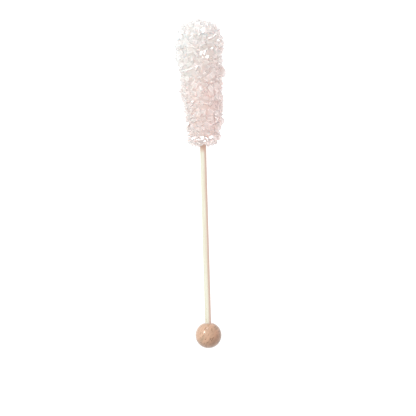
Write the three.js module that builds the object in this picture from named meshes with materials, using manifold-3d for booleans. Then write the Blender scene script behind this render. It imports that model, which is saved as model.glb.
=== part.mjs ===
// Rock candy on a stick: a cluster of sugar crystals grown round one end of a birch dowel,
// with a turned beech ball glued on the other end. It lies on its side and rests on the ball
// and on the widest part of the candy.
//
// Millimetres, +Z up, candy towards +Y. The origin is on the floor, under the middle of the
// part's bounding box.
import * as THREE from "three";
import { ConvexGeometry } from "three/addons/geometries/ConvexGeometry.js";
import { mergeVertices } from "three/addons/utils/BufferGeometryUtils.js";
import Module from "manifold-3d";

const { degToRad, lerp } = THREE.MathUtils;
const { Matrix4, Quaternion, Vector2, Vector3 } = THREE;
const wasm = await Module();
wasm.setup();

// ---------------------------------------------------------------- driving dimensions
// The pieces are modelled along the dowel. Y is its axis, and a station is a distance along it
// from the ball's centre. X is to the right and Z is up once the part lies on its side.

const BALL_RADIUS = 6.5;
const BALL_SIDES = 24;
const BALL_STEPS = 12;
const DOWEL_RADIUS = 1.5;
const DOWEL_SIDES = 24;
const DOWEL_START = -2; // inside the ball
const DOWEL_END = 148; // inside the candy, about 9 mm below its tip
const GLUE_GAP = 0.3; // clearance round the dowel in the ball and in the candy

const REST_TILT = degToRad(2.3); // the candy is thicker than the ball, so the dowel slopes
const BALL_FLAT = 0.05; // how much of the ball is flattened where it rests
const FOOT_FLAT = 0.5; // how much of the lowest crystals is flattened where they rest

// Outline of the candy through the tips of its crystals, from the dowel's side to the tip.
// Each ring has its radius and how far its middle lies to the right of the dowel.
const OUTLINE = [
  { station: 94.4, radius: 2.6, right: -0.4 },
  { station: 94.5, radius: 6, right: -0.4 },
  { station: 96.7, radius: 8, right: 0.2 },
  { station: 102, radius: 8.5, right: 0.2 },
  { station: 107, radius: 9.2, right: 0.9 },
  { station: 113, radius: 9.5, right: 0.8 },
  { station: 118, radius: 10.2, right: 0.5 },
  { station: 125, radius: 10.2, right: 0 },
  { station: 132, radius: 11, right: 0.1 },
  { station: 138, radius: 11.9, right: -0.8 },
  { station: 146, radius: 12, right: -0.1 },
  { station: 151, radius: 10.9, right: -0.6 },
  { station: 154.8, radius: 8.6, right: -0.2 },
  { station: 156.9, radius: 3, right: -1 },
  { station: 157.1, radius: 0.8, right: -1 },
];

const CORE_INSET = 1.3; // the solid sugar starts this far below the crystals' tips
const CORE_SIDES = 12;
const CORE_RINGS = 12;
const CORE_UNEVEN = 0.1; // share of its radius by which a corner moves inwards at most

const CRYSTAL_SPACING = 5.2;
const CRYSTAL_HALF = { least: 2.1, most: 3.8 }; // half of a crystal's longest side
const CRYSTAL_GIRTH = { least: 0.72, most: 1.05 }; // its other sides beside that
const CRYSTAL_LEAN = degToRad(62); // the most it leans away from the surface's normal
const TIP_SCATTER = { least: -0.8, most: 0.3 }; // where its tip ends beside the outline

// Crystals that stand out of the outline. The angle is round the dowel, 0 on the right and 90
// on top, past is how far the tip passes the outline, and half is half the longest side.
const STRAY_CRYSTALS = [
  { angle: 5, station: 131.3, past: 1.5, half: 3.4 },
  { angle: 178, station: 121.8, past: 1.9, half: 3 },
  { angle: 180, station: 146.5, past: 0.3, half: 3.4 },
  { angle: 2, station: 145.5, past: 0.3, half: 3 },
  { angle: 357, station: 116, past: 0.6, half: 2.4 },
  { angle: 352, station: 106, past: 1.2, half: 2.4 },
  { angle: 10, station: 98.3, past: 0.8, half: 2.2 },
  { angle: 180, station: 108.5, past: 0.2, half: 2.6 },
];

// Crystals on the underside that reach the floor: sideways from the dowel, and station.
const FOOT_CRYSTALS = [
  { sideways: -4.6, station: 141 },
  { sideways: 4.4, station: 143 },
  { sideways: -3.8, station: 127 },
  { sideways: 4, station: 125 },
];
const FOOT_HALF = 3;

// ---------------------------------------------------------------- helpers

// A repeatable stand-in for chance: a number from 0 to 1 for each pair of whole numbers.
function chance(item, question) {
  const wave = Math.sin(item * 12.9898 + question * 78.233) * 43758.5453;
  return wave - Math.floor(wave);
}

const between = ({ least, most }, share) => lerp(least, most, share);

// A geometry with its points only, and with those in the same place made one.
function mergedPoints(geometry) {
  const bare = new THREE.BufferGeometry();
  bare.setAttribute("position", geometry.getAttribute("position"));
  bare.setIndex(geometry.index);
  return mergeVertices(bare, 1e-4);
}

// A closed geometry as a solid that can be joined and cut.
function solidOf(geometry) {
  const { attributes, index } = mergedPoints(geometry);
  const vertProperties = new Float32Array(attributes.position.array);
  const triVerts = new Uint32Array(index.array);
  return new wasm.Manifold(new wasm.Mesh({ numProp: 3, vertProperties, triVerts }));
}

// Such a solid as a three.js geometry with flat faces.
function geometryOf(solid) {
  const { vertProperties, triVerts } = solid.getMesh();
  const indexed = new THREE.BufferGeometry();
  indexed.setAttribute("position", new THREE.BufferAttribute(vertProperties, 3));
  indexed.setIndex(new THREE.BufferAttribute(triVerts, 1));
  const flat = indexed.toNonIndexed();
  flat.computeVertexNormals();
  return flat;
}

function dowelShaped(radius, from, to) {
  const length = to - from;
  return new THREE.CylinderGeometry(radius, radius, length, DOWEL_SIDES).translate(0, from + length / 2, 0);
}

// ---------------------------------------------------------------- sugar crystals
// Sugar is monoclinic. A crystal is the space behind its faces, and each face is given by its
// Miller indices h, k, l and its distance from the centre. The long axis is b, along Y.

const CELL = { a: 1.26, b: 1, c: 0.878, beta: degToRad(102.9) };

function faceNormal(h, k, l) {
  const shear = Math.sin(CELL.beta);
  const alongA = h / (CELL.a * shear);
  const alongC = l / (CELL.c * shear);
  const lean = Math.PI - CELL.beta;
  return new Vector3(alongA + alongC * Math.cos(lean), k / CELL.b, alongC * Math.sin(lean)).normalize();
}

// The faces of one form: the face itself, its opposite, and their mirror images along b.
function facesOf({ h, k, l, distance }) {
  const ends = k === 0 ? [0] : [k, -k];
  return ends.flatMap((end) =>
    [1, -1].map((side) => new THREE.Plane(faceNormal(side * h, end, side * l), -distance)),
  );
}

// The point that three planes share.
function meetingPoint(p, q, r) {
  const qr = q.normal.clone().cross(r.normal);
  const rp = r.normal.clone().cross(p.normal);
  const pq = p.normal.clone().cross(q.normal);
  const spread = p.normal.dot(qr);
  if (Math.abs(spread) < 1e-6) return null;
  return new Vector3()
    .addScaledVector(qr, -p.constant)
    .addScaledVector(rp, -q.constant)
    .addScaledVector(pq, -r.constant)
    .divideScalar(spread);
}

// The corners of the space behind all the planes.
function cornersBehind(planes) {
  const corners = [];
  const isCorner = (point) =>
    planes.every((plane) => plane.distanceToPoint(point) < 1e-6) &&
    corners.every((corner) => corner.distanceTo(point) > 1e-6);
  planes.forEach((p, i) => {
    planes.slice(i + 1).forEach((q, j) => {
      planes.slice(i + j + 2).forEach((r) => {
        const point = meetingPoint(p, q, r);
        if (point && isCorner(point)) corners.push(point);
      });
    });
  });
  return corners;
}

// Habits: the same forms at other distances. A crystal is about 1 from its centre to its ends.
const FORM_A = { h: 1, k: 0, l: 0 };
const FORM_C = { h: 0, k: 0, l: 1 };
const FORM_R = { h: 1, k: 0, l: -1 };
const FORM_P = { h: 1, k: 1, l: 0 };
const HABITS = {
  block: [
    { ...FORM_A, distance: 0.62 },
    { ...FORM_C, distance: 0.6 },
    { ...FORM_P, distance: 0.86 },
  ],
  tablet: [
    { ...FORM_A, distance: 0.42 },
    { ...FORM_C, distance: 0.74 },
    { ...FORM_R, distance: 0.72 },
    { ...FORM_P, distance: 0.78 },
  ],
  prism: [
    { ...FORM_A, distance: 0.56 },
    { ...FORM_C, distance: 0.48 },
    { ...FORM_P, distance: 0.84 },
  ],
};
const habitCorners = Object.values(HABITS).map((forms) => cornersBehind(forms.flatMap(facesOf)));

// ---------------------------------------------------------------- where crystals grow

// How far along the outline each of its points lies.
const outlineLengths = OUTLINE.reduce((lengths, { station, radius }, n) => {
  if (n === 0) return [0];
  const before = OUTLINE[n - 1];
  return [...lengths, lengths.at(-1) + Math.hypot(radius - before.radius, station - before.station)];
}, []);

// The outline's ring at a share of its length, and the way that its side faces there.
function outlineAt(share) {
  const length = share * outlineLengths.at(-1);
  const n = Math.max(1, outlineLengths.findIndex((end) => end >= length));
  const [before, after] = [OUTLINE[n - 1], OUTLINE[n]];
  const step = outlineLengths[n] - outlineLengths[n - 1];
  const along = (length - outlineLengths[n - 1]) / step;
  return {
    station: lerp(before.station, after.station, along),
    radius: lerp(before.radius, after.radius, along),
    right: lerp(before.right, after.right, along),
    outwards: (after.station - before.station) / step,
    upwards: (before.radius - after.radius) / step,
  };
}

// A place on the candy: a point, and the direction that a crystal there grows in.
function spotAt(share, angle) {
  const { station, radius, right, outwards, upwards } = outlineAt(share);
  const [x, z] = [Math.cos(angle), Math.sin(angle)];
  return {
    place: new Vector3(right + radius * x, station, radius * z),
    growth: new Vector3(outwards * x, upwards, outwards * z),
  };
}

// The share of the outline's length where its side passes a station.
function shareAtStation(station) {
  const n = OUTLINE.findIndex((ring) => ring.station >= station);
  const along = (station - OUTLINE[n - 1].station) / (OUTLINE[n].station - OUTLINE[n - 1].station);
  return lerp(outlineLengths[n - 1], outlineLengths[n], along) / outlineLengths.at(-1);
}

// One crystal. It leans and turns by chance, and is pushed out until its furthest corner
// passes the place by the given amount.
function crystal(index, { place, growth }, half, past) {
  const sideways = new Vector3(chance(index, 4) - 0.5, chance(index, 5) - 0.5, chance(index, 6) - 0.5);
  const hinge = sideways.cross(growth).normalize();
  const axis = growth.clone().applyAxisAngle(hinge, CRYSTAL_LEAN * Math.sqrt(chance(index, 3)));
  const longAxis = new Vector3(0, 1, 0);
  const spin = new Quaternion().setFromAxisAngle(longAxis, 2 * Math.PI * chance(index, 7));
  const turn = new Quaternion().setFromUnitVectors(longAxis, axis).multiply(spin);
  const size = new Vector3(
    half * between(CRYSTAL_GIRTH, chance(index, 8)),
    half,
    half * between(CRYSTAL_GIRTH, chance(index, 9)),
  );
  const shape = new Matrix4().compose(new Vector3(), turn, size);
  const corners = habitCorners[index % habitCorners.length].map((corner) => corner.clone().applyMatrix4(shape));
  const reach = Math.max(...corners.map((corner) => corner.dot(growth)));
  const centre = place.clone().addScaledVector(growth, past - reach);
  return new ConvexGeometry(corners.map((corner) => corner.add(centre)));
}

// Rings of crystals from the dowel's side to the tip, shifted a little by chance.
function ringCrystals() {
  const made = [];
  const rings = Math.round(outlineLengths.at(-1) / CRYSTAL_SPACING);
  for (let ring = 0; ring < rings; ring++) {
    const girth = 2 * Math.PI * outlineAt((ring + 0.5) / rings).radius;
    const count = Math.max(1, Math.round(girth / CRYSTAL_SPACING));
    for (let n = 0; n < count; n++) {
      const index = made.length;
      const share = (ring + 0.5 + 0.7 * (chance(index, 0) - 0.5)) / rings;
      const turn = (n + 0.5 * (ring % 2) + 0.7 * (chance(index, 1) - 0.5)) / count;
      const half = between(CRYSTAL_HALF, chance(index, 2) ** 2);
      const past = between(TIP_SCATTER, chance(index, 10));
      made.push(crystal(index, spotAt(share, 2 * Math.PI * turn), half, past));
    }
  }
  return made;
}

function strayCrystals() {
  return STRAY_CRYSTALS.map(({ angle, station, past, half }, n) =>
    crystal(1000 + n, spotAt(shareAtStation(station), degToRad(angle)), half, past),
  );
}

// Crystals whose lowest corners are cut off by the floor.
function footCrystals(toFloor) {
  const down = new Vector3(0, 0, -1).transformDirection(toFloor.clone().invert());
  return FOOT_CRYSTALS.map(({ sideways, station }, n) => {
    const place = new Vector3(sideways, station, 0);
    const height = place.clone().applyMatrix4(toFloor).z;
    place.addScaledVector(down, height);
    return crystal(2000 + n, { place, growth: down }, FOOT_HALF, FOOT_FLAT);
  });
}

// ---------------------------------------------------------------- the three pieces

// The solid sugar below the crystals: a lathe inside the outline, with unevenly moved corners.
function candyCore() {
  const [first, last] = [OUTLINE[0].station + CORE_INSET, OUTLINE.at(-1).station - CORE_INSET];
  const profile = [new Vector2(0, first)];
  for (let ring = 0; ring <= CORE_RINGS; ring++) {
    const { station, radius } = outlineAt(ring / CORE_RINGS);
    const inside = THREE.MathUtils.clamp(station, first, last);
    profile.push(new Vector2(Math.max(radius - CORE_INSET, DOWEL_RADIUS), inside));
  }
  profile.push(new Vector2(0, last));
  const core = mergedPoints(new THREE.LatheGeometry(profile, CORE_SIDES));
  const corners = core.getAttribute("position");
  for (let n = 0; n < corners.count; n++) {
    const { right } = outlineAt(shareAtStation(corners.getY(n)));
    const scale = 1 - CORE_UNEVEN * chance(n, 11);
    corners.setX(n, right + corners.getX(n) * scale);
    corners.setZ(n, corners.getZ(n) * scale);
  }
  return core;
}

// Sugar fills any pocket that the crystals close off, so only the outer shell is kept.
function candyGeometry(toFloor, belowFloor) {
  const bore = dowelShaped(DOWEL_RADIUS + GLUE_GAP, 0, DOWEL_END + GLUE_GAP);
  const crystals = [...ringCrystals(), ...strayCrystals(), ...footCrystals(toFloor)];
  const grown = crystals.map(solidOf).reduce((whole, piece) => whole.add(piece), solidOf(candyCore()));
  const [outerShell] = grown.decompose().sort((a, b) => b.volume() - a.volume());
  return geometryOf(outerShell.subtract(solidOf(bore)).subtract(belowFloor));
}

// A ball with a blind hole for the dowel, as one profile turned round the dowel's axis.
function ballGeometry(belowFloor) {
  const hole = DOWEL_RADIUS + GLUE_GAP;
  const mouth = Math.acos(hole / BALL_RADIUS);
  const profile = [new Vector2(0, -BALL_RADIUS)];
  for (let step = 1; step <= BALL_STEPS; step++) {
    const latitude = lerp(-Math.PI / 2, mouth, step / BALL_STEPS);
    profile.push(new Vector2(Math.cos(latitude), Math.sin(latitude)).multiplyScalar(BALL_RADIUS));
  }
  const floorOfHole = DOWEL_START - GLUE_GAP;
  profile.push(new Vector2(hole, floorOfHole), new Vector2(0, floorOfHole));
  const ball = solidOf(new THREE.LatheGeometry(profile, BALL_SIDES));
  return geometryOf(ball.subtract(belowFloor));
}

// ---------------------------------------------------------------- the part, lying down

const sugar = new THREE.MeshStandardMaterial({ color: 0xf1e4dd, roughness: 0.12, metalness: 0 });
const beech = new THREE.MeshStandardMaterial({ color: 0xd2a27f, roughness: 0.3, metalness: 0 });
const birch = new THREE.MeshStandardMaterial({ color: 0xf3e8cf, roughness: 0.65, metalness: 0 });

function addPiece(group, name, geometry, material) {
  const mesh = new THREE.Mesh(geometry, material);
  mesh.name = name;
  group.add(mesh);
}

const lying = new THREE.Group();
lying.position.z = BALL_RADIUS - BALL_FLAT;
lying.rotation.x = REST_TILT;
lying.updateMatrix();

const floorBlock = new THREE.BoxGeometry(100, 500, 50).translate(0, 0, -25);
const belowFloor = solidOf(floorBlock.applyMatrix4(lying.matrix.clone().invert()));

addPiece(lying, "rock_candy", candyGeometry(lying.matrix, belowFloor), sugar);
addPiece(lying, "dowel", dowelShaped(DOWEL_RADIUS, DOWEL_START, DOWEL_END), birch);
addPiece(lying, "ball", ballGeometry(belowFloor), beech);

const part = new THREE.Group();
part.add(lying);

const bounds = new THREE.Box3().setFromObject(part, true);
part.position.set(-(bounds.min.x + bounds.max.x) / 2, -(bounds.min.y + bounds.max.y) / 2, -bounds.min.z);

export default part;
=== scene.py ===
# %% [markdown]
# # Rock candy on a stick
#
# The real thing is grown, not moulded. A birch dowel hangs in a hot sugar solution, and as the
# water cools and dries away, sugar settles on the dowel as crystals that push into each other.
# The other end of the dowel is glued into a turned beech ball, which is the handle.
#
# The stick lies on its side on a white sheet, and the camera looks straight down on it.

# %% Load the model's frame
import math

import bmesh
import bpy
from mathutils import Matrix, Quaternion, Vector, noise


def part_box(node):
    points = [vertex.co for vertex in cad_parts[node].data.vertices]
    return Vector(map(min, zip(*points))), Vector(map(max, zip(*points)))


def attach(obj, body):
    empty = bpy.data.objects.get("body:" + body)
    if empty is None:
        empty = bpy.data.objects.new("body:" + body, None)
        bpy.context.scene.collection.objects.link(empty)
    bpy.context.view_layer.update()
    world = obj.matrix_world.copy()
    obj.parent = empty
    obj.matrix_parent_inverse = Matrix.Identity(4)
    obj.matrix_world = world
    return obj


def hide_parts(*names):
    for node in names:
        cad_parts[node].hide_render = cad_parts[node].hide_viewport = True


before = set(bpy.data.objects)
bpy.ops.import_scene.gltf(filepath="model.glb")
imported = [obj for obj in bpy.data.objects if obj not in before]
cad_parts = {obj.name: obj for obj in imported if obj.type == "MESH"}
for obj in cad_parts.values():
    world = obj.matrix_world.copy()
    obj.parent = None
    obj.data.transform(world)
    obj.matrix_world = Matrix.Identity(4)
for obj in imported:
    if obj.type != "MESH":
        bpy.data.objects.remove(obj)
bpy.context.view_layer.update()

MM = 0.001
dowel_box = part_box("dowel")
ball_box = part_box("ball")
print("solids:", sorted(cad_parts))

# %% [markdown]
# ## Where the stick lies
#
# The candy is thicker than the ball, so the dowel slopes up towards it. Everything on the
# stick is easiest to say along the dowel, in millimetres: y is the station, the distance from
# the ball's centre, x is to the right and z is up. One matrix then takes such a place to where
# the stick really lies, in metres. Its slope comes from the middles of the ball and the dowel.

# %% The stick's own axes
BALL_RADIUS = 6.5
DOWEL_RADIUS = 1.5


def middle_of(box):
    return (box[0] + box[1]) / 2


ball_centre = middle_of(ball_box)
ball_centre.z = ball_box[1].z - BALL_RADIUS * MM
to_dowel = middle_of(dowel_box) - ball_centre
slope = math.atan2(to_dowel.z, to_dowel.y)
stick_turn = Quaternion((1, 0, 0), slope)
stick_to_world = Matrix.LocRotScale(ball_centre, stick_turn, (MM, MM, MM))
dowel_reach = (dowel_box[1].y - dowel_box[0].y) / MM
dowel_length = dowel_reach / math.cos(slope) - 2 * DOWEL_RADIUS * math.tan(slope)
dowel_start = to_dowel.length / MM - dowel_length / 2
dowel_end = to_dowel.length / MM + dowel_length / 2
print(f"slope {math.degrees(slope):.2f} degrees, dowel from {dowel_start:.1f} to {dowel_end:.1f} mm")

# %% [markdown]
# ## Camera
#
# A long lens from high above keeps the stick free of perspective, as in a catalogue picture.
# The stick leans a little to the left, which is a small roll of the camera.

# %% Camera
FRAME_WIDTH = 207.4 * MM
CAMERA_DISTANCE = 900 * MM
CAMERA_ROLL = math.radians(1.64)
SENSOR_WIDTH = 36
CLIP_START = 10 * MM
VIEW_CENTRE = Vector((1.57, 63.4, 0)) * MM

camera_data = bpy.data.cameras.new("camera")
camera_data.sensor_width = SENSOR_WIDTH
camera_data.lens = SENSOR_WIDTH * CAMERA_DISTANCE / FRAME_WIDTH
camera_data.clip_start = CLIP_START
camera = bpy.data.objects.new("camera", camera_data)
bpy.context.scene.collection.objects.link(camera)
looked_at = ball_centre + VIEW_CENTRE
camera.location = (looked_at.x, looked_at.y, looked_at.z + CAMERA_DISTANCE)
camera.rotation_euler = (0, 0, -CAMERA_ROLL)
bpy.context.scene.camera = camera
print(f"lens {camera_data.lens:.0f} mm")

# %% [markdown]
# ## Soft boxes
#
# A pale sweet on white needs soft light from all round, or it looks grey. Two small soft boxes
# come on top of that, so that crystal faces and varnish have something to mirror. The main one
# stands on the upper left, and a fainter pink one far behind the candy. An area lamp is used
# and not a point lamp, because its mirror image is then a small bright square. The colours
# are shown as they are, with no film curve.

# %% Soft boxes
KEY_DIRECTION = Vector((-0.58, 0.43, 0.69))
KEY_SIZE = 180 * MM
KEY_POWER = 1.1
KEY_COLOUR = (0.97, 1.0, 0.98)
FAR_DIRECTION = Vector((-0.15, 0.92, 0.37))
FAR_SIZE = 100 * MM
FAR_POWER = 0.3
FAR_COLOUR = (1.0, 0.88, 0.95)
BOX_DISTANCE = 600 * MM

scene = bpy.context.scene
scene.view_settings.view_transform = "Standard"


def new_object(name, data):
    made = bpy.data.objects.new(name, data)
    scene.collection.objects.link(made)
    return made


def soft_box(name, direction, size, power, colour):
    lamp = bpy.data.lights.new(name, "AREA")
    lamp.size = size
    lamp.energy = power
    lamp.color = colour
    box = new_object(name, lamp)
    box.location = looked_at + direction.normalized() * BOX_DISTANCE
    box.rotation_euler = direction.to_track_quat("Z", "Y").to_euler()
    return box


key = soft_box("soft_box", KEY_DIRECTION, KEY_SIZE, KEY_POWER, KEY_COLOUR)
soft_box("far_soft_box", FAR_DIRECTION, FAR_SIZE, FAR_POWER, FAR_COLOUR)
print("the main soft box stands at", [round(place, 2) for place in key.location])

# %% [markdown]
# ## The sheet it lies on
#
# One flat square is all the floor that is needed.

# %% The sheet
FLOOR_SIZE = 4000 * MM


def mesh_from(name, shape):
    mesh = bpy.data.meshes.new(name)
    shape.to_mesh(mesh)
    shape.free()
    return mesh


floor_shape = bmesh.new()
bmesh.ops.create_grid(floor_shape, x_segments=1, y_segments=1, size=FLOOR_SIZE / 2)
floor = new_object("white_sheet", mesh_from("white_sheet", floor_shape))
print(f"the sheet is {floor.dimensions.x:.1f} m wide")

# %% [markdown]
# ## A small kit for node trees
#
# Materials and Geometry Nodes are both trees of nodes. These helpers add a node with its
# settings and feed its inputs, either from another node or with a plain value.

# %% Helpers for node trees


def add_node(tree, kind, inputs=None, **settings):
    node = tree.nodes.new(kind)
    for name, value in settings.items():
        setattr(node, name, value)
    for name, value in (inputs or {}).items():
        feed(tree, node.inputs[name], value)
    return node


def feed(tree, socket, value):
    if isinstance(value, bpy.types.NodeSocket):
        tree.links.new(value, socket)
    else:
        socket.default_value = value


def new_material(name):
    material = bpy.data.materials.new(name)
    material.use_nodes = True
    tree = material.node_tree
    return material, tree, tree.nodes["Principled BSDF"]


# %% [markdown]
# ## The room round it
#
# Clear crystals show whatever is behind and beside them, so the room matters as much as the
# lamps. It is brightest overhead, cool on the left and pink on the right. That gives each
# crystal face a shade of its own, without hard shadows. The direction that a ray leaves in is
# split into its parts: x picks the tint, and z the strength.

# %% The room's colour
SURROUND_LEFT = (0.9, 0.93, 0.905, 1)
SURROUND_RIGHT = (0.95, 0.82, 0.81, 1)
SIDE_REACH = 0.9
OVERHEAD_STRENGTH = 1.38
HORIZON_STRENGTH = 1.29

world = bpy.data.worlds.new("pale_room")
scene.world = world
world.use_nodes = True
room = world.node_tree
direction = add_node(room, "ShaderNodeTexCoord").outputs["Generated"]
towards = add_node(room, "ShaderNodeSeparateXYZ", {"Vector": direction}).outputs
share_right = add_node(
    room, "ShaderNodeMapRange", {"Value": towards["X"], "From Min": -SIDE_REACH, "From Max": SIDE_REACH}
)
tint = add_node(room, "ShaderNodeMix", {"Factor": share_right.outputs["Result"]}, data_type="RGBA")
tint.inputs[6].default_value = SURROUND_LEFT
tint.inputs[7].default_value = SURROUND_RIGHT
feed(room, room.nodes["Background"].inputs["Color"], tint.outputs[2])
height = add_node(
    room,
    "ShaderNodeMapRange",
    {"Value": towards["Z"], "To Min": HORIZON_STRENGTH, "To Max": OVERHEAD_STRENGTH},
    interpolation_type="SMOOTHSTEP",
)
feed(room, room.nodes["Background"].inputs["Strength"], height.outputs["Result"])
print(f"the room's strength goes from {HORIZON_STRENGTH} to {OVERHEAD_STRENGTH}")

# %% [markdown]
# ## Paper lit from behind
#
# On plain white paper the stick would throw a grey shadow, and the crystals would show it. On
# a light table the paper stays evenly white and shines up through the crystals. So the paper
# gives off light of its own, and reflects little.

# %% The sheet's finish
PAPER_GREY = (0.25, 0.25, 0.25, 1)
PAPER_GLOW = 0.9

paper, _, paper_shader = new_material("white_paper")
paper_shader.inputs["Base Color"].default_value = PAPER_GREY
paper_shader.inputs["Roughness"].default_value = 0.9
paper_shader.inputs["Specular IOR Level"].default_value = 0
paper_shader.inputs["Emission Color"].default_value = (1, 1, 1, 1)
paper_shader.inputs["Emission Strength"].default_value = PAPER_GLOW
floor.data.materials.append(paper)
print(f"the paper glows at {PAPER_GLOW}")

# %% [markdown]
# ## The shape of a sugar crystal
#
# Sugar is monoclinic: two of its axes are square to the third, and lean by 103 degrees to each
# other. Its flat faces always meet at the same angles, but grow at different speeds, so one
# crystal is a block and the next one a tablet. Modelling each by hand would lose that. Here a
# crystal is cut like a gem: a block is sliced by one plane for each face, and a plane's tilt
# comes from the face's Miller indices.

# %% Faces of sugar
CELL_A = 1.26
CELL_B = 1
CELL_C = 0.878
CELL_LEAN = math.radians(102.9)


def face_normal(h, k, l):
    shear = math.sin(CELL_LEAN)
    along_a = h / (CELL_A * shear)
    along_c = l / (CELL_C * shear)
    lean = math.pi - CELL_LEAN
    return Vector((along_a + along_c * math.cos(lean), k / CELL_B, along_c * math.sin(lean))).normalized()


def faces_of(h, k, l):
    ends = [k, -k] if k else [0]
    return [face_normal(side * h, end, side * l) for end in ends for side in (1, -1)]


FORM_A = faces_of(1, 0, 0)
FORM_C = faces_of(0, 0, 1)
FORM_R = faces_of(1, 0, -1)
FORM_P = faces_of(1, 1, 0)
print("angle from a to c:", round(math.degrees(FORM_A[0].angle(FORM_C[0])), 1))

# %% [markdown]
# ## Three habits
#
# A habit is the same set of faces at other distances from the centre. Each one is cut from a
# block 4 across, is about 1 from its centre to its ends, and gets narrow bevels, because real
# edges are slightly rounded and catch a line of light. The bevels carry a mark, "edge", so
# that the finish can paint them whiter, partly as wear and partly as a painted highlight.

# %% Cut the habits
HABITS = {
    "block": ((FORM_A, 0.62), (FORM_C, 0.6), (FORM_P, 0.86)),
    "tablet": ((FORM_A, 0.42), (FORM_C, 0.74), (FORM_R, 0.72), (FORM_P, 0.78)),
    "prism": ((FORM_A, 0.56), (FORM_C, 0.48), (FORM_P, 0.84)),
}
UNCUT_SIZE = 4
EDGE_BEVEL = 0.08


def cut_crystal(forms):
    crystal = bmesh.new()
    bmesh.ops.create_cube(crystal, size=UNCUT_SIZE)
    for normals, distance in forms:
        for normal in normals:
            everything = crystal.verts[:] + crystal.edges[:] + crystal.faces[:]
            cut = bmesh.ops.bisect_plane(
                crystal, geom=everything, plane_co=normal * distance, plane_no=normal, clear_outer=True
            )
            rim = [item for item in cut["geom_cut"] if isinstance(item, bmesh.types.BMEdge)]
            bmesh.ops.contextual_create(crystal, geom=rim)
    bmesh.ops.recalc_face_normals(crystal, faces=crystal.faces)
    return crystal


habit_corners = []
habit_shelf = bpy.data.collections.new("crystal_habits")
for habit, forms in HABITS.items():
    crystal = cut_crystal(forms)
    habit_corners.append([corner.co.copy() for corner in crystal.verts])
    faces = len(crystal.faces)
    edge_wear_and_highlight = crystal.faces.layers.float.new("edge")
    bevel = bmesh.ops.bevel(crystal, geom=crystal.edges[:], offset=EDGE_BEVEL, segments=1, affect="EDGES")
    for face in bevel["faces"]:
        face[edge_wear_and_highlight] = 1
    habit_shelf.objects.link(bpy.data.objects.new(habit, mesh_from(habit, crystal)))
    print(f"{habit}: {faces} faces, {len(habit_corners[-1])} corners")

# %% [markdown]
# ## Where the crystals grow
#
# The cluster is a club: narrow where it starts on the dowel, thicker towards its tip, and
# never quite straight. A short table gives its outline through the tips of its crystals, with
# how far each ring's middle lies to the right of the dowel.

# %% The cluster's outline
OUTLINE = (
    # station, radius, right
    (94.4, 2.6, -0.4),
    (94.5, 6, -0.4),
    (96.7, 8, 0.2),
    (102, 8.5, 0.2),
    (107, 9.2, 0.9),
    (113, 9.5, 0.8),
    (118, 10.2, 0.5),
    (125, 10.2, 0),
    (132, 11, 0.1),
    (138, 11.9, -0.8),
    (146, 12, -0.1),
    (151, 10.9, -0.6),
    (154.8, 8.6, -0.2),
    (156.9, 3, -1),
    (157.1, 0.8, -1),
)

outline_lengths = [0]
for (station, radius, _), (next_station, next_radius, _) in zip(OUTLINE, OUTLINE[1:]):
    step = math.hypot(next_radius - radius, next_station - station)
    outline_lengths.append(outline_lengths[-1] + step)


def mix(a, b, share):
    return a + (b - a) * share


def outline_at(share):
    """The ring at a share of the outline's length, and the way that its side faces there."""
    length = share * outline_lengths[-1]
    n = next(n for n, end in enumerate(outline_lengths) if n > 0 and end >= length - 1e-9)
    before = OUTLINE[n - 1]
    after = OUTLINE[n]
    step = outline_lengths[n] - outline_lengths[n - 1]
    along = (length - outline_lengths[n - 1]) / step
    station, radius, right = (mix(a, b, along) for a, b in zip(before, after))
    return station, radius, right, (after[0] - before[0]) / step, (before[1] - after[1]) / step


def share_at_station(station):
    n = next(n for n, ring in enumerate(OUTLINE) if ring[0] >= station)
    along = (station - OUTLINE[n - 1][0]) / (OUTLINE[n][0] - OUTLINE[n - 1][0])
    return mix(outline_lengths[n - 1], outline_lengths[n], along) / outline_lengths[-1]


def spot_at(share, angle):
    """A place on the cluster, and the direction that a crystal there grows in."""
    station, radius, right, outwards, upwards = outline_at(share)
    x = math.cos(angle)
    z = math.sin(angle)
    return Vector((right + radius * x, station, radius * z)), Vector((outwards * x, upwards, outwards * z))


print(f"the outline is {outline_lengths[-1]:.0f} mm long")

# %% [markdown]
# ## Chance that repeats
#
# Each crystal leans, turns and swells a little by chance, and the result has to be the same
# every time. A sine with a large factor gives a number from 0 to 1 for each pair of a crystal
# and a question about it, and needs no stored state.

# %% Chance
def chance(item, question):
    wave = math.sin(item * 12.9898 + question * 78.233) * 43758.5453
    return wave - math.floor(wave)


# %% [markdown]
# ## Main crystals
#
# The big crystals give the cluster its outline. They stand in rings, shifted by chance, and
# each is pushed out until its furthest corner reaches the outline. A few strays stand further
# out, and four on the underside reach down to the sheet. This cell only works out where each
# one is and how it is turned, as points that carry their own turn, size and habit.

# %% Place the main crystals
CRYSTAL_SPACING = 5.2
CRYSTAL_HALF = (2.1, 3.8)
CRYSTAL_GIRTH = (0.72, 1.05)
CRYSTAL_LEAN = math.radians(62)
RING_SCATTER = 0.7
TIP_SCATTER = (-0.8, 0.3)
STRAYS = (
    # angle round the dowel, station, past the outline, half length
    (5, 131.3, 1.5, 3.4),
    (178, 121.8, 1.9, 3),
    (180, 146.5, 0.3, 3.4),
    (2, 145.5, 0.3, 3),
    (357, 116, 0.6, 2.4),
    (352, 106, 1.2, 2.4),
    (10, 98.3, 0.8, 2.2),
    (180, 108.5, 0.2, 2.6),
)
FEET = ((-4.6, 141), (4.4, 143), (-3.8, 127), (4, 125))
FOOT_HALF = 3
FOOT_FLAT = 0.5
FIRST_STRAY = 1000
FIRST_FOOT = 2000
LONG_AXIS = Vector((0, 1, 0))
crystals = []


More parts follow.
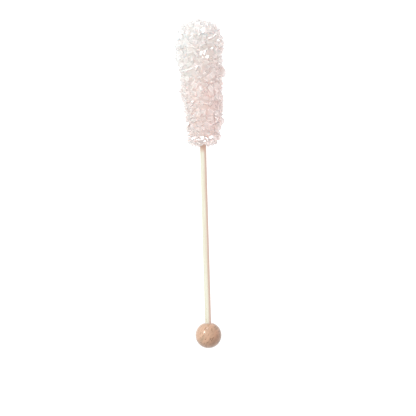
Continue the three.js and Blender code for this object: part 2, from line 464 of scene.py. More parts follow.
def grow(index, place, growth, half, past):
    sideways = Vector((chance(index, 4) - 0.5, chance(index, 5) - 0.5, chance(index, 6) - 0.5))
    hinge = sideways.cross(growth).normalized()
    axis = Quaternion(hinge, CRYSTAL_LEAN * math.sqrt(chance(index, 3))) @ growth
    spin = Quaternion(LONG_AXIS, 2 * math.pi * chance(index, 7))
    turn = LONG_AXIS.rotation_difference(axis) @ spin
    size = half * Vector((mix(*CRYSTAL_GIRTH, chance(index, 8)), 1, mix(*CRYSTAL_GIRTH, chance(index, 9))))
    habit = index % len(habit_corners)
    reach = max((turn @ (corner * size)).dot(growth) for corner in habit_corners[habit])
    crystals.append((place + growth * (past - reach), turn, size, habit))


ring_count = round(outline_lengths[-1] / CRYSTAL_SPACING)
for ring in range(ring_count):
    girth = 2 * math.pi * outline_at((ring + 0.5) / ring_count)[1]
    count = max(1, round(girth / CRYSTAL_SPACING))
    for n in range(count):
        index = len(crystals)
        share = (ring + 0.5 + RING_SCATTER * (chance(index, 0) - 0.5)) / ring_count
        angle = 2 * math.pi * (n + 0.5 * (ring % 2) + RING_SCATTER * (chance(index, 1) - 0.5)) / count
        half = mix(*CRYSTAL_HALF, chance(index, 2) ** 2)
        grow(index, *spot_at(share, angle), half, mix(*TIP_SCATTER, chance(index, 10)))
for n, (angle, station, past, half) in enumerate(STRAYS):
    grow(FIRST_STRAY + n, *spot_at(share_at_station(station), math.radians(angle)), half, past)
down = stick_turn.inverted() @ Vector((0, 0, -1))
for n, (right, station) in enumerate(FEET):
    place = Vector((right, station, 0))
    height = (stick_to_world @ place).z / MM
    grow(FIRST_FOOT + n, place + down * height, down, FOOT_HALF, FOOT_FLAT)
main_count = len(crystals)
print(main_count, "main crystals")

# %% [markdown]
# ## Crystals that catch the light
#
# A flat face flashes white when it mirrors a lamp straight into the eye. Crystals that grow by
# chance seldom do that where it is wanted, so a few are set one by one. Each one's face looks
# halfway between the camera and the soft box, as seen from its own place. The long thin ones
# are like the lit edge of a big crystal.

# %% Set the crystals that catch the light
FACING = (
    # right, station, turn, half length, half width, out
    (1.6, 151.2, 20, 1.5, 1.2, 0.3),
    (-0.4, 149, 70, 0.9, 0.4, 0.3),
    (0.2, 139.9, 75, 1.6, 0.7, -0.1),
    (1.8, 140.2, 82, 1.7, 0.6, 0),
    (3.1, 138, 60, 1.2, 0.8, 0.1),
    (0.9, 137.9, 20, 0.8, 0.4, 0),
    (-7.3, 131.7, 18, 1.6, 0.3, 0.4),
    (-4.7, 132.5, 18, 1.8, 0.3, 0.5),
    (-2, 133.4, 20, 1.6, 0.25, 0.4),
    (4.6, 147.2, 18, 1.6, 0.25, 0.3),
    (7.1, 148.4, 32, 1.5, 0.25, 0.3),
    (5.6, 142.4, 50, 1, 0.5, -0.2),
    (-7.5, 105.5, 80, 1.4, 0.6, 0.2),
    (-4.6, 116.4, 35, 0.9, 0.4, 0.3),
    (-4.2, 98.5, 8, 1.9, 0.5, 0.2),
    (-2.1, 97.6, -6, 1.1, 0.35, 0.3),
    (-0.3, 98.4, 12, 1.5, 0.8, 0.3),
    (1.1, 96.9, 4, 0.9, 0.3, 0.4),
    (2, 98.1, -14, 1.2, 0.5, 0.3),
    (4, 98.7, 22, 1.6, 0.7, 0.2),
)
BLOCK_DEPTH = 1.6
BLOCK_FACE = HABITS["block"][0][1]
BLOCK_SIDE = HABITS["block"][1][1]


def face_towards(facing, place, turn, half_length, half_width, out):
    """Set a block with its broad face looking one way, and its long side turned on that face."""
    along = Vector((math.cos(math.radians(turn)), math.sin(math.radians(turn)), 0))
    along = (along - along.dot(facing) * facing).normalized()
    basis = Matrix((facing, along, facing.cross(along))).transposed()
    size = Vector((BLOCK_DEPTH, half_length, half_width / BLOCK_SIDE))
    crystals.append((place + facing * (out - BLOCK_FACE * size.x), basis.to_quaternion(), size, 0))


def front_at(right, station):
    """The spot on the outline that is straight above a place on the dowel's level."""
    _, radius, middle, _, _ = outline_at(share_at_station(station))
    return Vector((right, station, math.sqrt(max(radius**2 - (right - middle) ** 2, 0))))


for right, station, *shape in FACING:
    place = front_at(right, station)
    here = stick_to_world @ place
    halfway = (key.location - here).normalized() + (camera.location - here).normalized()
    face_towards(stick_turn.inverted() @ halfway.normalized(), place, *shape)
print(len(crystals), "with the ones that face the light")

# %% [markdown]
# ## The skin that small crystals settle on
#
# Under the big crystals the sugar is solid. A lathed skin a little inside the outline is that
# solid, and is also where the small crystals start. Lathing it from the outline's own rings
# keeps its place right everywhere.

# %% Turn the skin
SKIN_SIDES = 40
SKIN_RINGS = 60
SKIN_INSET = 1.6
LEAST_RADIUS = 0.4


def lathed(rings, sides, to_world):
    """A closed shape round the stick's axis. Each ring is (station, radius, right)."""
    shape = bmesh.new()
    loops = []
    for station, radius, right in rings:
        loop = []
        for side in range(sides):
            angle = 2 * math.pi * side / sides
            place = Vector((right + radius * math.cos(angle), station, radius * math.sin(angle)))
            loop.append(shape.verts.new(to_world @ place))
        loops.append(loop)
    for lower, upper in zip(loops, loops[1:]):
        for side in range(sides):
            beside = (side + 1) % sides
            shape.faces.new((lower[side], upper[side], upper[beside], lower[beside]))
    shape.faces.new(loops[0])
    shape.faces.new(reversed(loops[-1]))
    bmesh.ops.recalc_face_normals(shape, faces=shape.faces)
    return shape


def inset_rings(inset):
    """The outline's rings, each moved inwards by a distance, square to its side."""
    rings = []
    for n in range(SKIN_RINGS + 1):
        station, radius, right, outwards, upwards = outline_at(n / SKIN_RINGS)
        rings.append((station - inset * upwards, max(radius - inset * outwards, LEAST_RADIUS), right))
    return rings


skin = mesh_from("sugar_skin", lathed(inset_rings(SKIN_INSET), SKIN_SIDES, stick_to_world))
print(len(skin.polygons), "faces on the skin")

# %% [markdown]
# ## Growing the cluster with Geometry Nodes
#
# Hundreds of crystals follow one rule, so a node tree grows them. It takes the points of the
# main crystals, and puts a cut crystal on each, picked, turned and sized by what the point
# carries. Each crystal also gets a number of its own, "tone", because no two real ones are
# quite as clear as each other.

# %% The tree and the main crystals
def new_tree(name, sockets):
    tree = bpy.data.node_groups.new(name, "GeometryNodeTree")
    tree.interface.new_socket(name="Geometry", in_out="OUTPUT", socket_type="NodeSocketGeometry")
    for socket_name, kind in sockets.items():
        tree.interface.new_socket(name=socket_name, in_out="INPUT", socket_type="NodeSocket" + kind)
    return tree, tree.nodes.new("NodeGroupInput").outputs, tree.nodes.new("NodeGroupOutput").inputs


def attribute(tree, name, data_type):
    node = add_node(tree, "GeometryNodeInputNamedAttribute", {"Name": name}, data_type=data_type)
    return node.outputs["Attribute"]


growing, given, result = new_tree(
    "grow_rock_candy",
    {
        "Main points": "Geometry",
        "Skin": "Object",
        "Habits": "Collection",
        "Middle spacing": "Float",
        "Middle half least": "Float",
        "Middle half most": "Float",
        "Grain spacing": "Float",
        "Grain half least": "Float",
        "Grain half most": "Float",
        "Lean": "Float",
        "Clearing": "Float",
        "Patch size": "Float",
        "Grainy share": "Float",
        "Seed": "Int",
        "Finish": "Material",
    },
)
habits = add_node(
    growing,
    "GeometryNodeCollectionInfo",
    {"Collection": given["Habits"], "Separate Children": True, "Reset Children": True},
).outputs["Instances"]
skin_here = add_node(growing, "GeometryNodeObjectInfo", {"Object": given["Skin"]}).outputs["Geometry"]


def keep_attribute(geometry, name, value, domain):
    kept = add_node(
        growing,
        "GeometryNodeStoreNamedAttribute",
        {"Geometry": geometry, "Name": name, "Value": value},
        data_type="FLOAT",
        domain=domain,
    )
    return kept.outputs["Geometry"]


def toned(instances, seed):
    """Give every crystal a number of its own, for its finish."""
    number = add_node(growing, "FunctionNodeRandomValue", {2: 0.0, 3: 1.0, "Seed": seed}, data_type="FLOAT")
    return keep_attribute(instances, "tone", number.outputs[1], "INSTANCE")


main = add_node(
    growing,
    "GeometryNodeInstanceOnPoints",
    {
        "Points": given["Main points"],
        "Instance": habits,
        "Pick Instance": True,
        "Instance Index": attribute(growing, "habit", "INT"),
        "Rotation": attribute(growing, "turn", "QUATERNION"),
        "Scale": attribute(growing, "size", "FLOAT_VECTOR"),
    },
).outputs["Instances"]
print(len(growing.interface.items_tree) - 1, "inputs on the tree")

# %% [markdown]
# ## Small crystals and grains
#
# Between the big crystals the sugar is full of smaller ones in two sizes. Each size is
# scattered over the skin, no closer than a set distance, and leans its own way. Grains come in
# patches, where a noise is high. Nothing small grows right beside a crystal that should catch
# the light, or it would be buried.

# %% Scatter small crystals over the skin
SCATTER_DENSITY = 5e6
MIDDLE_SEED = 11
GRAIN_SEED = 21

is_facing = add_node(growing, "FunctionNodeCompare", {"A": attribute(growing, "facing", "FLOAT"), "B": 0.5})
facing_points = add_node(
    growing,
    "GeometryNodeSeparateGeometry",
    {"Geometry": given["Main points"], "Selection": is_facing.outputs["Result"]},
).outputs["Selection"]
to_facing = add_node(
    growing, "GeometryNodeProximity", {0: facing_points}, target_element="POINTS"
).outputs["Distance"]
in_clearing = add_node(
    growing, "FunctionNodeCompare", {"A": to_facing, "B": given["Clearing"]}, operation="LESS_THAN"
)


def scattered(kind, seed, share=1.0):
    """Crystals over the skin, each leaning its own way. The share is how densely they stand."""
    points = add_node(
        growing,
        "GeometryNodeDistributePointsOnFaces",
        {
            "Mesh": skin_here,
            "Distance Min": given[kind + " spacing"],
            "Density Max": SCATTER_DENSITY,
            "Density Factor": share,
            "Seed": given["Seed"],
        },
        distribute_method="POISSON",
    )
    cleared = add_node(
        growing,
        "GeometryNodeDeleteGeometry",
        {"Geometry": points.outputs["Points"], "Selection": in_clearing.outputs["Result"]},
        domain="POINT",
    )
    upright = add_node(
        growing, "FunctionNodeAlignRotationToVector", {"Vector": points.outputs["Normal"]}, axis="Y"
    )
    most = add_node(growing, "ShaderNodeCombineXYZ", {"X": given["Lean"], "Y": math.pi, "Z": given["Lean"]})
    least = add_node(
        growing, "ShaderNodeVectorMath", {0: most.outputs["Vector"], "Scale": -1.0}, operation="SCALE"
    )
    lean = add_node(
        growing,
        "FunctionNodeRandomValue",
        {0: least.outputs["Vector"], 1: most.outputs["Vector"], "Seed": seed},
        data_type="FLOAT_VECTOR",
    )
    lean_turn = add_node(growing, "FunctionNodeEulerToRotation", {"Euler": lean.outputs["Value"]})
    turned = add_node(
        growing,
        "FunctionNodeRotateRotation",
        {"Rotation": upright.outputs["Rotation"], "Rotate By": lean_turn.outputs["Rotation"]},
        rotation_space="LOCAL",
    )
    half = add_node(
        growing,
        "FunctionNodeRandomValue",
        {2: given[kind + " half least"], 3: given[kind + " half most"], "Seed": seed + 1},
        data_type="FLOAT",
    )
    placed = add_node(
        growing,
        "GeometryNodeInstanceOnPoints",
        {
            "Points": cleared.outputs["Geometry"],
            "Instance": habits,
            "Pick Instance": True,
            "Rotation": turned.outputs["Rotation"],
            "Scale": half.outputs[1],
        },
    )
    return placed.outputs["Instances"]


patch_noise = add_node(growing, "ShaderNodeTexNoise", {"Scale": given["Patch size"], "Detail": 1.0})
patches = patch_noise.outputs["Fac"]
grainy = add_node(growing, "FunctionNodeCompare", {"A": patches, "B": given["Grainy share"]})
grain_share = add_node(
    growing, "ShaderNodeMath", {0: grainy.outputs["Result"], 1: 1.0}, operation="MULTIPLY"
)
middle = scattered("Middle", MIDDLE_SEED)
grains = scattered("Grain", GRAIN_SEED, grain_share.outputs[0])
print(len(growing.nodes), "nodes so far")

# %% [markdown]
# ## One closed shell
#
# Real crystals grow into each other. A boolean joins them all with the skin into one closed
# shell, with no walls inside for light to get lost in, and a second one cuts off whatever
# would poke through the sheet. A boolean makes new faces and forgets the tones, so each new
# face takes its tone and its edge mark from the nearest place on the crystals as they were.

# %% Join everything into one shell
SKIN_TONE = 0.6
TONE_SEEDS = (31, 32, 33)
SHEET_BLOCK = 400 * MM

crystal_groups = [toned(group, seed) for group, seed in zip((main, middle, grains), TONE_SEEDS)]
grown = add_node(growing, "GeometryNodeMeshBoolean", operation="UNION", solver="MANIFOLD")
apart = add_node(growing, "GeometryNodeJoinGeometry")
for group in (keep_attribute(skin_here, "tone", SKIN_TONE, "POINT"), *crystal_groups):
    growing.links.new(group, grown.inputs[1])
    growing.links.new(group, apart.inputs["Geometry"])
block = add_node(growing, "GeometryNodeMeshCube", {"Size": (SHEET_BLOCK, SHEET_BLOCK, SHEET_BLOCK)})
under_sheet = add_node(
    growing,
    "GeometryNodeTransform",
    {"Geometry": block.outputs["Mesh"], "Translation": (0, 0, -SHEET_BLOCK / 2)},
)
levelled = add_node(
    growing,
    "GeometryNodeMeshBoolean",
    {"Mesh 1": grown.outputs["Mesh"], "Mesh 2": under_sheet.outputs["Geometry"]},
    operation="DIFFERENCE",
    solver="MANIFOLD",
)
apart_mesh = add_node(growing, "GeometryNodeRealizeInstances", {"Geometry": apart.outputs["Geometry"]})
shell = levelled.outputs["Mesh"]
for name in ("tone", "edge"):
    nearest = add_node(
        growing,
        "GeometryNodeSampleNearestSurface",
        {"Mesh": apart_mesh.outputs["Geometry"], "Value": attribute(growing, name, "FLOAT")},
        data_type="FLOAT",
    )
    shell = keep_attribute(shell, name, nearest.outputs["Value"], "FACE")
realized = add_node(growing, "GeometryNodeRealizeInstances", {"Geometry": shell})
finished = add_node(
    growing,
    "GeometryNodeSetMaterial",
    {"Geometry": realized.outputs["Geometry"], "Material": given["Finish"]},
)
feed(growing, result["Geometry"], finished.outputs["Geometry"])
print(len(growing.nodes), "nodes in the tree")

# %% [markdown]
# ## Helpers for finishes
#
# Every finish follows the stick: grain runs along the dowel, and a painted shadow starts where
# the sugar ends. So patterns read the place on the stick, in millimetres, which a Mapping node
# works out from the object's own coordinates.

# %% Places, noises and colours
def stick_space(tree):
    """The place on the stick in millimetres, as a vector for textures."""
    here = add_node(tree, "ShaderNodeTexCoord").outputs["Object"]
    mapping = add_node(
        tree,
        "ShaderNodeMapping",
        {"Vector": here, "Location": ball_centre, "Rotation": (slope, 0, 0), "Scale": (MM, MM, MM)},
        vector_type="TEXTURE",
    )
    return mapping.outputs["Vector"]


def parts_of(tree, vector):
    return add_node(tree, "ShaderNodeSeparateXYZ", {"Vector": vector}).outputs


def calculate(tree, operation, *values, **settings):
    node = add_node(tree, "ShaderNodeMath", dict(enumerate(values)), operation=operation, **settings)
    return node.outputs[0]


def ramp(tree, value, stops):
    node = add_node(tree, "ShaderNodeValToRGB", {"Fac": value})
    elements = node.color_ramp.elements
    while len(elements) < len(stops):
        elements.new(0.5)
    for element, (position, colour) in zip(elements, stops):
        element.position = position
        element.color = (*colour, 1)
    return node.outputs["Color"]


def stretched_noise(tree, place, scale, detail=3, roughness=0.5, distortion=0):
    stretched = add_node(tree, "ShaderNodeVectorMath", {0: place, 1: scale}, operation="MULTIPLY")
    values = {"Scale": 1.0, "Detail": detail, "Roughness": roughness, "Distortion": distortion}
    values["Vector"] = stretched.outputs["Vector"]
    return add_node(tree, "ShaderNodeTexNoise", values).outputs["Fac"]


def map_range(tree, value, from_min, from_max, to_min=0.0, to_max=1.0):
    return add_node(
        tree,
        "ShaderNodeMapRange",
        {"Value": value, "From Min": from_min, "From Max": from_max, "To Min": to_min, "To Max": to_max},
    ).outputs["Result"]


def mix_colour(tree, share, a, b, blend_type="MIX"):
    node = add_node(tree, "ShaderNodeMix", data_type="RGBA", blend_type=blend_type)
    feed(tree, node.inputs["Factor"], share)
    for socket, value in ((node.inputs[6], a), (node.inputs[7], b)):
        feed(tree, socket, value if isinstance(value, bpy.types.NodeSocket) else (*value, 1))
    return node.outputs[2]


# %% [markdown]
# ## Sugar
#
# Grown sugar is like milky ice. Light goes in, scatters, and comes out near by, while the flat
# faces still shine. Transmission with subsurface scattering gives that: a plain white would
# look like chalk, and a plain glass like ice cubes. Sugar's real index of refraction is 1.54.
# It is set lower here, and was chosen, because at 1.54 the crystals came out with too
# much contrast. Each crystal's tone shifts how pink and how clear it is. Edges are whiter,
# partly as wear and partly as a painted highlight, and the lower end is pinker.

# %% Sugar
SUGAR_PALE = (0.955, 0.945, 0.93)
SUGAR_PINK = (0.94, 0.8, 0.775)
SUGAR_EDGE_AND_HIGHLIGHT = (1.0, 0.99, 0.98)
PALE_STATION = 150
PINK_STATION = 118
END_PINK = 0.9
SIDE_PINK = 0.2
SIDE_REACH_MM = 10
OWN_PINK = 0.08
EDGE_WEAR_AND_HIGHLIGHT_SHARE = 0.15
LEAST_CLEAR = 0.38
MOST_CLEAR = 0.47
SUGAR_IOR = 1.36
SCATTER_COLOURS = (1, 0.85, 0.8)
CHIP_SCALE = 1.1
CHIP_STRENGTH = 0.03
CHIP_DEPTH = 0.5 * MM

sugar, sugar_tree, sugar_shader = new_material("sugar")
tone = add_node(sugar_tree, "ShaderNodeAttribute", attribute_name="tone").outputs["Fac"]
edge = add_node(sugar_tree, "ShaderNodeAttribute", attribute_name="edge").outputs["Fac"]
sugar_place = stick_space(sugar_tree)
right, station, _ = parts_of(sugar_tree, sugar_place)
# Pinker towards the lower end and to the right: partly the sugar's own tint, partly painted shade on the
# sides away from the soft box.
by_station = map_range(sugar_tree, station, PALE_STATION, PINK_STATION, 0, END_PINK)
by_side = map_range(sugar_tree, right, -SIDE_REACH_MM, SIDE_REACH_MM, -SIDE_PINK, SIDE_PINK)
own = map_range(sugar_tree, tone, 0, 1, -OWN_PINK, OWN_PINK)
by_place = calculate(sugar_tree, "ADD", by_station, by_side)
pinkness = calculate(sugar_tree, "ADD", by_place, own, use_clamp=True)
body = mix_colour(sugar_tree, pinkness, SUGAR_PALE, SUGAR_PINK)
# The bevels are painted whiter: partly wear, partly a painted highlight along each edge.
edge_wear_and_highlight = calculate(sugar_tree, "MULTIPLY", edge, EDGE_WEAR_AND_HIGHLIGHT_SHARE)
feed(sugar_tree, sugar_shader.inputs["Base Color"], mix_colour(sugar_tree, edge_wear_and_highlight, body, SUGAR_EDGE_AND_HIGHLIGHT))
clear = map_range(sugar_tree, tone, 0, 1, LEAST_CLEAR, MOST_CLEAR)
less_clear = calculate(sugar_tree, "MULTIPLY_ADD", edge_wear_and_highlight, -1.0, clear)
feed(sugar_tree, sugar_shader.inputs["Transmission Weight"], less_clear)
sugar_shader.inputs["Roughness"].default_value = 0.1
sugar_shader.inputs["IOR"].default_value = SUGAR_IOR
sugar_shader.inputs["Subsurface Weight"].default_value = 0.85
sugar_shader.inputs["Subsurface Radius"].default_value = SCATTER_COLOURS
sugar_shader.inputs["Subsurface Scale"].default_value = 12 * MM
sugar_shader.inputs["Coat Weight"].default_value = 1
sugar_shader.inputs["Coat Roughness"].default_value = 0.03
chips = add_node(
    sugar_tree,
    "ShaderNodeTexVoronoi",
    {"Vector": sugar_place, "Scale": CHIP_SCALE},
    distance="CHEBYCHEV",
)
relief = add_node(
    sugar_tree,
    "ShaderNodeBump",
    {"Height": chips.outputs["Distance"], "Strength": CHIP_STRENGTH, "Distance": CHIP_DEPTH},
)
feed(sugar_tree, sugar_shader.inputs["Normal"], relief.outputs["Normal"])
print(f"sugar lets {LEAST_CLEAR:.0%} to {MOST_CLEAR:.0%} of the light through")

# %% [markdown]
# ## Growing it
#
# The tree works on a small mesh with one point for each main crystal, which carries its turn,
# size and habit. The spacings and sizes are the tree's inputs, and with a fixed seed it always
# grows the same cluster. The result is kept as a plain mesh, so nothing has to grow again. A
# boolean can leave a sliver that uses a corner twice, and crumbs with no volume. The sliver is
# dropped, the sides of its gap, far thinner than a hair, are merged, and crumbs are removed.

# %% Run the tree
SLIVER = 0.03 * MM


def loose_parts(shape):
    """Lists of the corners that hang together, the longest list first."""
    shape.verts.index_update()
    waiting = {corner.index: corner for corner in shape.verts}
    parts = []
    while waiting:
        part = [waiting.popitem()[1]]
        for corner in part:
            for side in corner.link_edges:
                beside = side.other_vert(corner)
                if waiting.pop(beside.index, None):
                    part.append(beside)
        parts.append(part)
    return sorted(parts, key=len, reverse=True)


def carry(mesh, name, data_type, values):
    kept = mesh.attributes.new(name, data_type, "POINT")
    field = "vector" if data_type == "FLOAT_VECTOR" else "value"
    for item, value in zip(kept.data, values):
        setattr(item, field, value)


points = bpy.data.meshes.new("main_points")
points.from_pydata([stick_to_world @ place for place, *_ in crystals], [], [])
carry(points, "turn", "QUATERNION", [stick_turn @ turn for _, turn, _, _ in crystals])
carry(points, "size", "FLOAT_VECTOR", [size * MM for _, _, size, _ in crystals])
carry(points, "habit", "INT", [habit for *_, habit in crystals])
carry(points, "facing", "FLOAT", [float(n >= main_count) for n in range(len(crystals))])
growth_site = new_object("rock_candy_crystals", points)
skin_object = new_object("sugar_skin", skin)

grower = growth_site.modifiers.new("grow", "NODES")
grower.node_group = growing
settings = {
    "Skin": skin_object,
    "Habits": habit_shelf,
    "Middle spacing": 2.7 * MM,
    "Middle half least": 1.2 * MM,
    "Middle half most": 2 * MM,
    "Grain spacing": 1.1 * MM,
    "Grain half least": 0.4 * MM,
    "Grain half most": 0.8 * MM,
    "Lean": math.radians(70),
    "Clearing": 1.9 * MM,
    "Patch size": 150.0,
    "Grainy share": 0.44,
    "Seed": 9,
    "Finish": sugar,
}
for item in growing.interface.items_tree:
    if item.in_out == "INPUT" and item.name in settings:
        grower[item.identifier] = settings[item.name]
grown_site = growth_site.evaluated_get(bpy.context.evaluated_depsgraph_get())
candy = bpy.data.meshes.new_from_object(grown_site)
growth_site.modifiers.clear()
growth_site.data = candy
bpy.data.objects.remove(skin_object)
candy.name = "rock_candy_crystals"
candy.validate()
closed = bmesh.new()
closed.from_mesh(candy)
gap_corners = [corner for corner in closed.verts if corner.is_boundary]
bmesh.ops.remove_doubles(closed, verts=gap_corners, dist=SLIVER)
bmesh.ops.delete(closed, geom=[side for side in closed.edges if side.is_wire], context="EDGES")
crumbs = loose_parts(closed)[1:]
crumb_sizes = [len(crumb) for crumb in crumbs]
bmesh.ops.delete(closed, geom=[corner for crumb in crumbs for corner in crumb], context="VERTS")
closed.to_mesh(candy)
closed.free()
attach(growth_site, "root")
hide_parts("rock_candy")
candy.calc_loop_triangles()
print(len(candy.polygons), "faces,", len(candy.loop_triangles), "triangles")
print(len(gap_corners), "gap corners merged, and crumbs removed with corners:", crumb_sizes)

# %% [markdown]
# ## The milky core
#
# Deep inside, so much fine sugar has grown together that it is cloudy and hides the dowel.
# Through the shell alone the wood would show. So a lathed core sits well inside the shell, as
# far from its side and from its ends. It is a little lumpy, because a smooth one would be seen
# as a smooth shape.

# %% Core
CORE_INSET = 4.5
CORE_UNEVEN = 0.9
CORE_LUMP = 3.5
CORE_RINGS = 50
MILK = (0.985, 0.9, 0.87)
MILK_CLOUD = (0.96, 0.84, 0.8)

core_rings = []
for n in range(CORE_RINGS + 1):
    wanted = mix(OUTLINE[0][0] + CORE_INSET, OUTLINE[-1][0] - CORE_INSET, n / CORE_RINGS)
    station, radius, right, _, _ = outline_at(share_at_station(wanted))
    core_rings.append((station, radius - CORE_INSET, right))
core_shape = lathed(core_rings, SKIN_SIDES, stick_to_world)
for corner in core_shape.verts:
    corner.co += corner.normal * noise.noise(corner.co / (CORE_LUMP * MM)) * CORE_UNEVEN * MM
core = new_object("sugar_core", mesh_from("sugar_core", core_shape))
milk, milk_tree, milk_shader = new_material("milky_sugar")
clouds = stretched_noise(milk_tree, stick_space(milk_tree), (0.4, 0.25, 0.4))
feed(milk_tree, milk_shader.inputs["Base Color"], mix_colour(milk_tree, clouds, MILK, MILK_CLOUD))
milk_shader.inputs["Roughness"].default_value = 0.4
milk_shader.inputs["IOR"].default_value = SUGAR_IOR
milk_shader.inputs["Transmission Weight"].default_value = 0.3
milk_shader.inputs["Subsurface Weight"].default_value = 0.8
milk_shader.inputs["Subsurface Radius"].default_value = SCATTER_COLOURS
milk_shader.inputs["Subsurface Scale"].default_value = 4 * MM
core.data.materials.append(milk)
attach(core, "root")
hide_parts("rock_candy")
print("the core is", [round(extent / MM, 1) for extent in core.dimensions], "mm")

# %% [markdown]
# ## The dowel
#
# It is made as a length of round birch rod, with its sharp ends just broken. Fine fibres run
# along birch, with a short brown speck here and there. One side is darker, which is painted
# shade on the side away from the soft box, and close to the candy the wood is light brown,
# which is the candy's painted shadow. Colour alone shows all of that, so the shape stays a
# plain lathed rod.

# %% Dowel
DOWEL_SIDES = 48
DOWEL_CHAMFER = 0.2
BIRCH_STOPS = ((0.3, (0.55, 0.51, 0.4)), (0.55, (0.61, 0.62, 0.52)), (0.75, (0.65, 0.67, 0.59)))
BIRCH_SPECK = (0.42, 0.24, 0.12)
SPECK_EDGE = (0.74, 0.78)
BIRCH_PAINTED_SHADE = (0.52, 0.4, 0.34)
PAINTED_SHADE_EDGE = (0.2, 0.8)
PAINTED_SHADE_SHARE = 0.95
CANDY_PAINTED_SHADOW = (0.55, 0.39, 0.31)
PAINTED_SHADOW_STATIONS = (91.2, 93.8)


def smooth_faces(mesh, sharp_above=40):
    for face in mesh.polygons:
        face.use_smooth = True
    mesh.set_sharp_from_angle(angle=math.radians(sharp_above))


dowel_rings = (
    (dowel_start, DOWEL_RADIUS - DOWEL_CHAMFER, 0),
    (dowel_start + DOWEL_CHAMFER, DOWEL_RADIUS, 0),
    (dowel_end - DOWEL_CHAMFER, DOWEL_RADIUS, 0),
    (dowel_end, DOWEL_RADIUS - DOWEL_CHAMFER, 0),
)
dowel_shape = lathed(dowel_rings, DOWEL_SIDES, stick_to_world)
dowel = new_object("birch_dowel", mesh_from("birch_dowel", dowel_shape))
smooth_faces(dowel.data)
birch, birch_tree, birch_shader = new_material("birch")
place = stick_space(birch_tree)
right, station, _ = parts_of(birch_tree, place)
fibres = stretched_noise(birch_tree, place, (2.2, 0.05, 2.2), detail=5, roughness=0.6)
wood = ramp(birch_tree, fibres, BIRCH_STOPS)
specks = stretched_noise(birch_tree, place, (3.4, 0.8, 3.4), detail=1)
wood = mix_colour(birch_tree, map_range(birch_tree, specks, *SPECK_EDGE), wood, BIRCH_SPECK)
# Painted shade: the right side, away from the soft box, is painted darker and pinker.
painted_side_shade = map_range(birch_tree, right, *PAINTED_SHADE_EDGE, 0, PAINTED_SHADE_SHARE)
wood = mix_colour(birch_tree, painted_side_shade, wood, BIRCH_PAINTED_SHADE)
# Painted shadow: the dowel is painted darker just below the candy, as the candy's shadow.
shadow_edge = stretched_noise(birch_tree, place, (1.5, 0.4, 1.5))
uneven_station = calculate(birch_tree, "ADD", station, shadow_edge)
shadowed = map_range(birch_tree, uneven_station, *PAINTED_SHADOW_STATIONS)
wood = mix_colour(birch_tree, shadowed, wood, CANDY_PAINTED_SHADOW)
feed(birch_tree, birch_shader.inputs["Base Color"], wood)
birch_shader.inputs["Roughness"].default_value = 0.6
dowel.data.materials.append(birch)
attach(dowel, "root")
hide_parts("dowel")
print(f"the dowel is {dowel_end - dowel_start:.1f} mm long, stained from {PAINTED_SHADOW_STATIONS[0]} mm on")

# %% [markdown]
# ## The ball's shape
#
# The handle is a turned ball with a blind hole that the dowel is glued into. The lathe turns
# one closed profile: it starts at a small dimple, such as a lathe's centre leaves, goes round
# the ball and over the eased edge of the mouth, and ends at the bottom of the hole.

# %% Turn the ball
BALL_SIDES = 64
BALL_STEPS = 32
DIMPLE = 0.25
POLE_FLAT = 0.9
MOUTH = 2.3
HOLE_RADIUS = DOWEL_RADIUS + 0.05
EASED_EDGE = ((0.15, 0.1), (0.35, 0))
HOLE_SPARE = 0.1

first_latitude = -math.acos(POLE_FLAT / BALL_RADIUS)
last_latitude = math.acos(MOUTH / BALL_RADIUS)
ball_rings = [(BALL_RADIUS * math.sin(first_latitude) + DIMPLE, DIMPLE, 0)]
for step in range(BALL_STEPS + 1):
    latitude = mix(first_latitude, last_latitude, step / BALL_STEPS)
    ball_rings.append((BALL_RADIUS * math.sin(latitude), BALL_RADIUS * math.cos(latitude), 0))
mouth_station = BALL_RADIUS * math.sin(last_latitude)
for depth, wider in EASED_EDGE:
    ball_rings.append((mouth_station - depth, HOLE_RADIUS + wider, 0))
ball_rings.append((dowel_start - HOLE_SPARE, HOLE_RADIUS, 0))
ball_shape = lathed(ball_rings, BALL_SIDES, stick_to_world)
for corner in ball_shape.verts:
    corner.co.z = max(corner.co.z, 0)
ball = new_object("beech_ball", mesh_from("beech_ball", ball_shape))
smooth_faces(ball.data)
print(f"the hole is {mouth_station - dowel_start + HOLE_SPARE:.1f} mm deep")
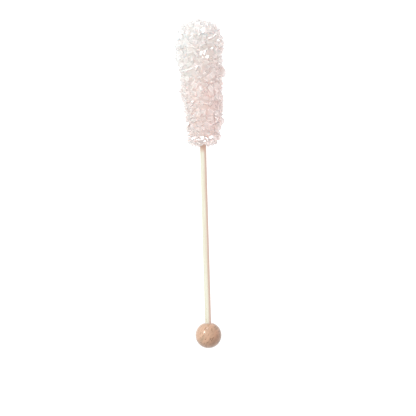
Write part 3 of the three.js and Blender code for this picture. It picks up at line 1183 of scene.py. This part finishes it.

# %% [markdown]
# ## Varnished beech
#
# Beech is brown in broad bands with short dark flecks. The bands are turned by an angle, so
# that they don't simply run along the hole. The upper left is much paler and the lower right
# darker, which is painted light and shade from the soft box, and a ring round the mouth is
# tinted, as glue might leave it. A coat makes the varnish, because its highlight is sharp
# while the wood under it stays dull.

# %% Beech
GRAIN_TURN = (0.3, 0.2, math.radians(35))
BEECH_STOPS = ((0.3, (0.34, 0.24, 0.16)), (0.5, (0.47, 0.3, 0.2)), (0.72, (0.58, 0.38, 0.27)))
BEECH_FLECK = (0.22, 0.12, 0.06)
FLECK_EDGE = (0.6, 0.65)
FLECK_SHARE = 0.9
TOWARDS_PAINTED_LIGHT = Vector((-0.45, 0.5, 0.75)) / BALL_RADIUS
PAINTED_SHADE_TO_LIGHT = (
    (0.05, (0.43, 0.37, 0.29)),
    (0.36, (0.5, 0.41, 0.32)),
    (0.57, (0.66, 0.57, 0.49)),
    (0.78, (0.95, 0.89, 0.83)),
    (0.95, (1.0, 0.97, 0.94)),
)
GLUE = (0.72, 0.5, 0.5)
GLUE_RADII = (2.9, 2.2)
GLUE_SHARE = 0.7
MOUTH_STATIONS = (4, 5)

beech, beech_tree, beech_shader = new_material("beech")
place = stick_space(beech_tree)
turned = add_node(beech_tree, "ShaderNodeMapping", {"Vector": place, "Rotation": GRAIN_TURN})
grain = turned.outputs["Vector"]
bands = stretched_noise(beech_tree, grain, (0.5, 0.09, 0.25), detail=4, roughness=0.6, distortion=0.4)
wood = ramp(beech_tree, bands, BEECH_STOPS)
flecks = stretched_noise(beech_tree, grain, (1.3, 0.5, 1.1), detail=2)
flecked = map_range(beech_tree, flecks, *FLECK_EDGE, 0, FLECK_SHARE)
wood = mix_colour(beech_tree, flecked, wood, BEECH_FLECK)
# Painted light and shade: paler on the side towards the soft box, darker on the far side and underneath.
towards_lamp = add_node(
    beech_tree, "ShaderNodeVectorMath", {0: place, 1: TOWARDS_PAINTED_LIGHT}, operation="DOT_PRODUCT"
)
painted_shading = ramp(beech_tree, map_range(beech_tree, towards_lamp.outputs["Value"], -0.6, 1), PAINTED_SHADE_TO_LIGHT)
wood = mix_colour(beech_tree, 1.0, wood, painted_shading, "MULTIPLY")
flat = add_node(beech_tree, "ShaderNodeVectorMath", {0: place, 1: (1, 0, 1)}, operation="MULTIPLY")
from_axis = add_node(beech_tree, "ShaderNodeVectorMath", {0: flat.outputs["Vector"]}, operation="LENGTH")
round_hole = map_range(beech_tree, from_axis.outputs["Value"], *GLUE_RADII, 0, GLUE_SHARE)
near_mouth = map_range(beech_tree, parts_of(beech_tree, place)["Y"], *MOUTH_STATIONS)
glue_share = calculate(beech_tree, "MULTIPLY", round_hole, near_mouth)
wood = mix_colour(beech_tree, glue_share, wood, GLUE)
feed(beech_tree, beech_shader.inputs["Base Color"], wood)
beech_shader.inputs["Roughness"].default_value = 0.45
beech_shader.inputs["Coat Weight"].default_value = 1
beech_shader.inputs["Coat Roughness"].default_value = 0.07
ball.data.materials.append(beech)
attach(ball, "root")
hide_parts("ball")
print(len(beech_tree.nodes), "nodes in the beech")
